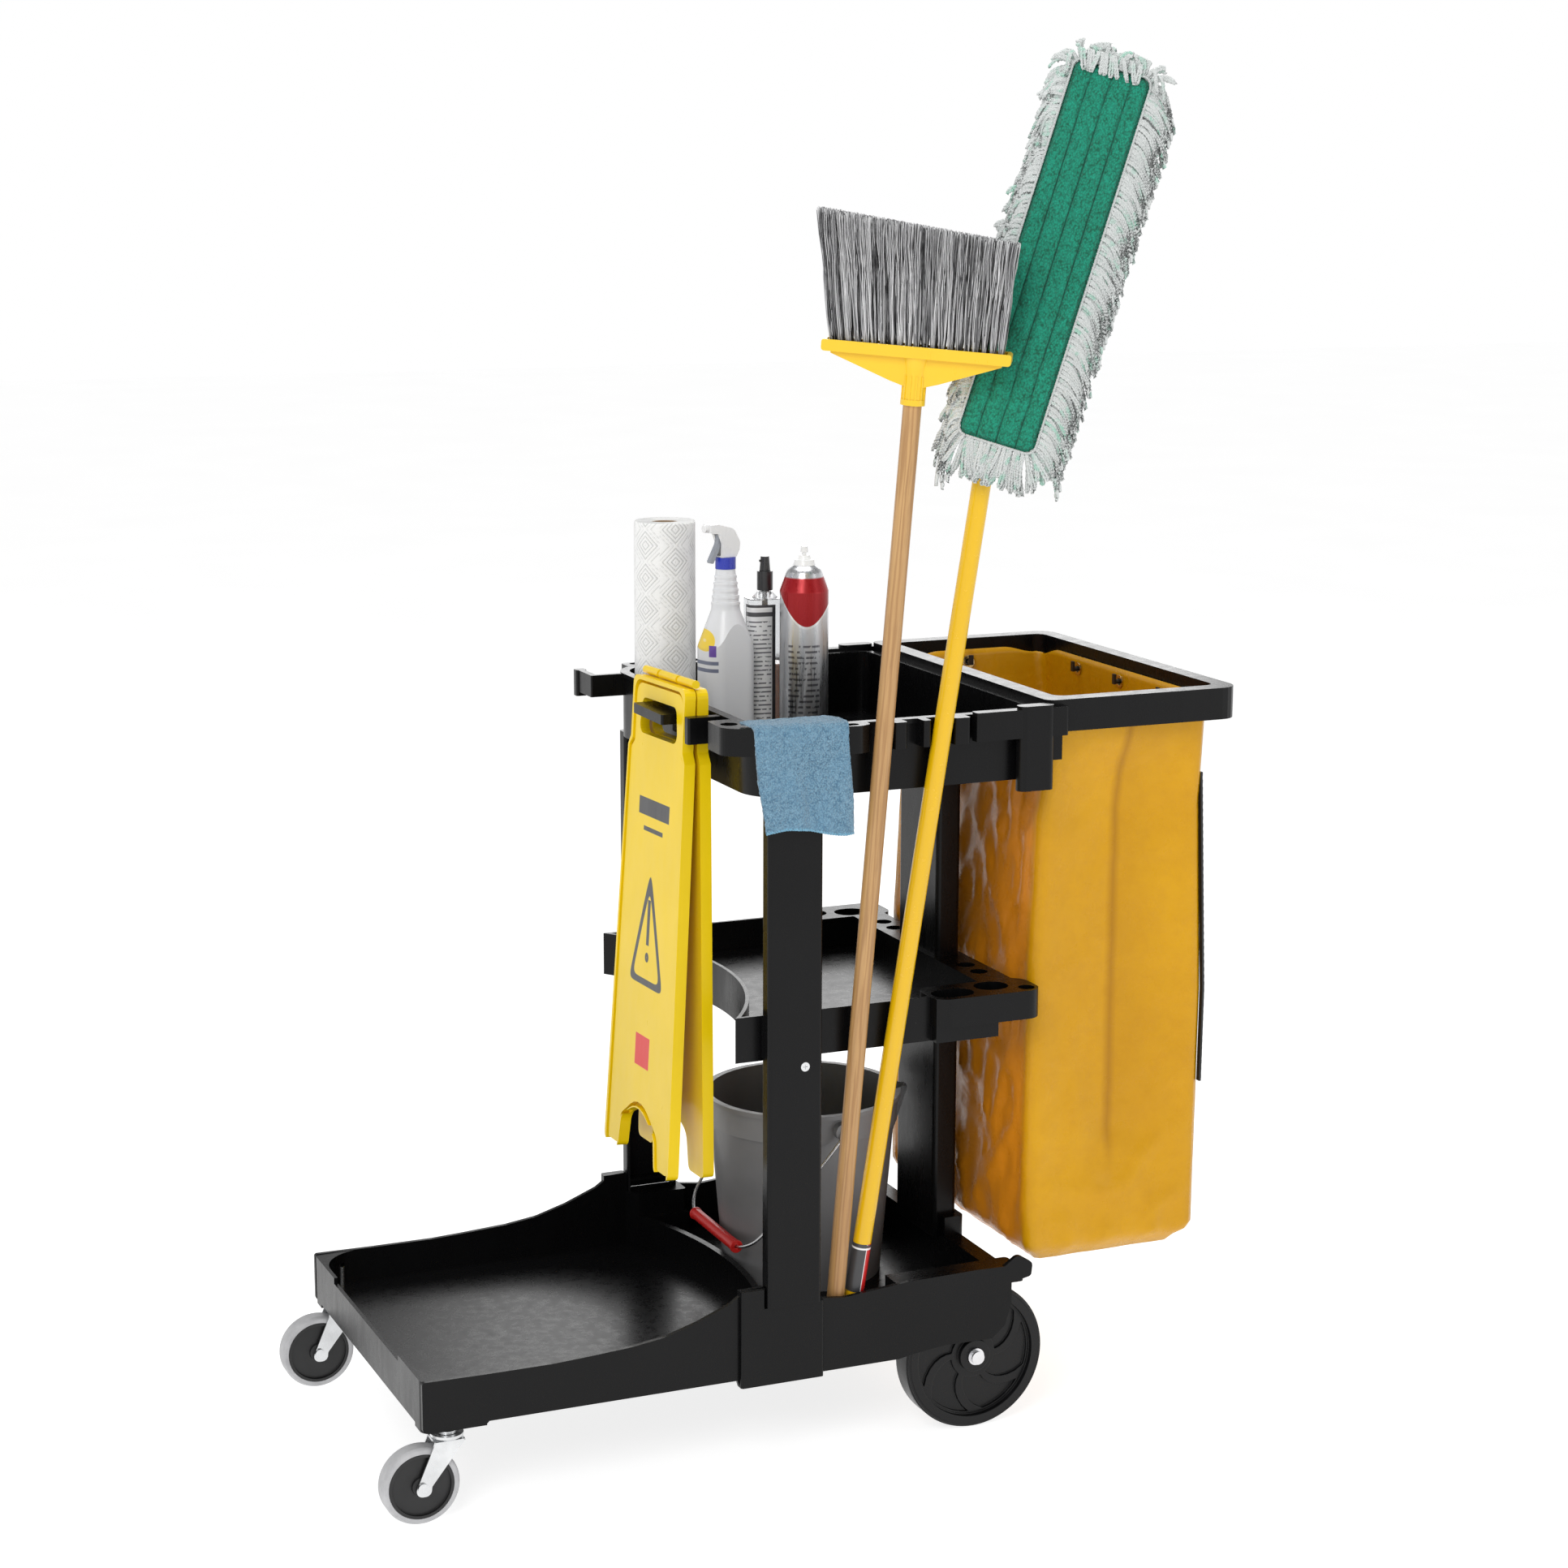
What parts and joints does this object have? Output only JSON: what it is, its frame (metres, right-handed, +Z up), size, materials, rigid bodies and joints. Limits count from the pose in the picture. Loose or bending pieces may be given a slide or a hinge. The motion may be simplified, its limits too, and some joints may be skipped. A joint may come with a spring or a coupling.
{
  "type": "cleaning caddy cart",
  "caption": "Wheeled janitor's cleaning caddy with deck, shelf, tray and zipped waste bag, carrying a broom, dust mop, folded floor sign, bucket and supplies.",
  "frame": {"origin": "centre of the bounding box of the loaded cart, on the floor", "axes": "+Z up, +X from the deck towards the waste bag, -Y the side that carries the broom and mop"},
  "size_m": [1.183, 0.688, 1.8421],
  "materials": {
    "black_plastic": "semi-gloss moulded",
    "sign_yellow": "glossy moulded",
    "bag_vinyl": "glossy coated vinyl",
    "zipper_black": "woven tape with coil",
    "eyelet_brass": "polished",
    "zinc": "bright zinc plated",
    "steel": "bright",
    "wheel_black": "moulded satin",
    "hub_black": "satin",
    "tread_grey": "satin",
    "wood": "lacquered",
    "broom_yellow": "satin moulded",
    "bristles": "flagged fibre, mixed greys",
    "mop_yellow": "gloss",
    "mop_black": "satin",
    "sleeve_red": "printed film",
    "pad_green": "tufted microfibre",
    "fringe_white": "looped yarn",
    "bucket_grey": "satin",
    "grip_red": "satin",
    "core_brown": "kraft board",
    "towel_white": "embossed tissue",
    "bottle_white": "satin",
    "collar_blue": "satin",
    "bottle_clear": "clear",
    "liquid_amber": "clear liquid",
    "pump_black": "satin",
    "can_metal": "printed satin",
    "cap_white": "satin",
    "cloth_blue": "microfibre terry"
  },
  "bodies": {
    "cart": {"base_platform": "black_plastic", "front_post_near": "black_plastic", "front_post_far": "black_plastic", "rear_column": "black_plastic", "middle_shelf": "black_plastic", "top_tray": "black_plastic", "sign_hook": "black_plastic", "bag_frame": "black_plastic", "bag_hooks": "black_plastic", "bag": "bag_vinyl", "bag_eyelets": "eyelet_brass", "bag_zipper": "zipper_black", "rear_axle": "steel", "axle_caps": "zinc", "caster_mounts": "zinc", "post_screws": "steel", "sign_rear_panel": "sign_yellow", "sign_hinge": "sign_yellow", "cloth": "cloth_blue"},
    "rear_wheel_near": {"rear_wheel_near": "wheel_black"},
    "rear_wheel_far": {"rear_wheel_far": "wheel_black"},
    "caster_near": {"caster_fork_near": "zinc", "caster_bolt_near": "steel"},
    "caster_far": {"caster_fork_far": "zinc", "caster_bolt_far": "steel"},
    "caster_wheel_near": {"caster_hub_near": "hub_black", "caster_tread_near": "tread_grey"},
    "caster_wheel_far": {"caster_hub_far": "hub_black", "caster_tread_far": "tread_grey"},
    "broom": {"broom_handle": "wood", "broom_cap": "broom_yellow", "broom_bristles": "bristles"},
    "mop": {"mop_handle": "mop_yellow", "mop_grip": "mop_black", "mop_sleeve": "sleeve_red", "mop_connector": "mop_black"},
    "mop_head": {"mop_frame": "steel", "mop_pad": "pad_green", "mop_fringe": "fringe_white"},
    "sign_front": {"sign_front_panel": "sign_yellow"},
    "bucket": {"bucket": "bucket_grey"},
    "bail": {"bucket_bail": "steel", "bucket_grip": "grip_red"},
    "towel": {"towel_core": "core_brown", "towel_roll": "towel_white"},
    "spray": {"spray_bottle": "bottle_white", "spray_collar": "collar_blue", "spray_head": "cap_white"},
    "trigger": {"spray_trigger": "cap_white"},
    "mist": {"mist_bottle": "bottle_clear", "mist_liquid": "liquid_amber", "mist_collar": "pump_black"},
    "pump": {"mist_pump": "pump_black"},
    "can": {"can_body": "can_metal", "can_dome": "cap_white"},
    "button": {"can_nozzle": "cap_white"}
  },
  "joints": [
    {"name": "rear_wheel_near_spin", "type": "hinge", "parent": "cart", "child": "rear_wheel_near", "pos_m": [0.2265, -0.16997, 0.1], "axis": [0, 1, 0], "continuous": true},
    {"name": "rear_wheel_far_spin", "type": "hinge", "parent": "cart", "child": "rear_wheel_far", "pos_m": [0.2265, 0.28403, 0.1], "axis": [0, 1, 0], "continuous": true},
    {"name": "caster_near_swivel", "type": "hinge", "parent": "cart", "child": "caster_near", "pos_m": [-0.5045, -0.18497, 0.11], "axis": [0, 0, 1], "continuous": true},
    {"name": "caster_far_swivel", "type": "hinge", "parent": "cart", "child": "caster_far", "pos_m": [-0.5045, 0.29903, 0.11], "axis": [0, 0, 1], "continuous": true},
    {"name": "caster_near_spin", "type": "hinge", "parent": "caster_near", "child": "caster_wheel_near", "pos_m": [-0.5415, -0.18497, 0.05], "axis": [0, 1, 0], "continuous": true},
    {"name": "caster_far_spin", "type": "hinge", "parent": "caster_far", "child": "caster_wheel_far", "pos_m": [-0.5415, 0.29903, 0.05], "axis": [0, 1, 0], "continuous": true},
    {"name": "broom_lift", "type": "slide", "parent": "cart", "child": "broom", "axis": [0.0494, -0.0714, 0.9962], "range_m": [0, 0.1]},
    {"name": "mop_lift", "type": "slide", "parent": "cart", "child": "mop", "axis": [0.124, -0.0667, 0.99], "range_m": [0, 0.1]},
    {"name": "mop_head_turn", "type": "hinge", "parent": "mop", "child": "mop_head", "pos_m": [0.20469, -0.26194, 1.39672], "axis": [0.4728, 0.866, -0.1628], "range_deg": [-15, 15]},
    {"name": "sign_open", "type": "hinge", "parent": "cart", "child": "sign_front", "pos_m": [-0.1215, 0.02103, 1.005], "axis": [0, 0.9994, -0.0349], "range_deg": [0, 25]},
    {"name": "bucket_lift", "type": "slide", "parent": "cart", "child": "bucket", "axis": [0, 0, 1], "range_m": [0, 0.04]},
    {"name": "bail_swing", "type": "hinge", "parent": "bucket", "child": "bail", "pos_m": [0.0985, 0.09503, 0.384], "axis": [0, 1, 0], "range_deg": [0, 15]},
    {"name": "towel_lift", "type": "slide", "parent": "cart", "child": "towel", "axis": [0, 0, 1], "range_m": [0, 0.1]},
    {"name": "spray_lift", "type": "slide", "parent": "cart", "child": "spray", "axis": [0, 0, 1], "range_m": [0, 0.1]},
    {"name": "trigger_pull", "type": "hinge", "parent": "spray", "child": "trigger", "pos_m": [0.00425, 0.15897, 1.1662], "axis": [-0.2419, 0.9703, 0], "range_deg": [-7, 0], "stiffness_Nm_per_rad": 0.05},
    {"name": "mist_lift", "type": "slide", "parent": "cart", "child": "mist", "axis": [0, 0, 1], "range_m": [0, 0.1]},
    {"name": "pump_press", "type": "slide", "parent": "mist", "child": "pump", "axis": [0, 0, 1], "range_m": [-0.009, 0], "stiffness_N_per_m": 150},
    {"name": "can_lift", "type": "slide", "parent": "cart", "child": "can", "axis": [0, 0, 1], "range_m": [0, 0.1]},
    {"name": "button_press", "type": "slide", "parent": "can", "child": "button", "axis": [0, 0, 1], "range_m": [-0.003, 0], "stiffness_N_per_m": 300}
  ]
}
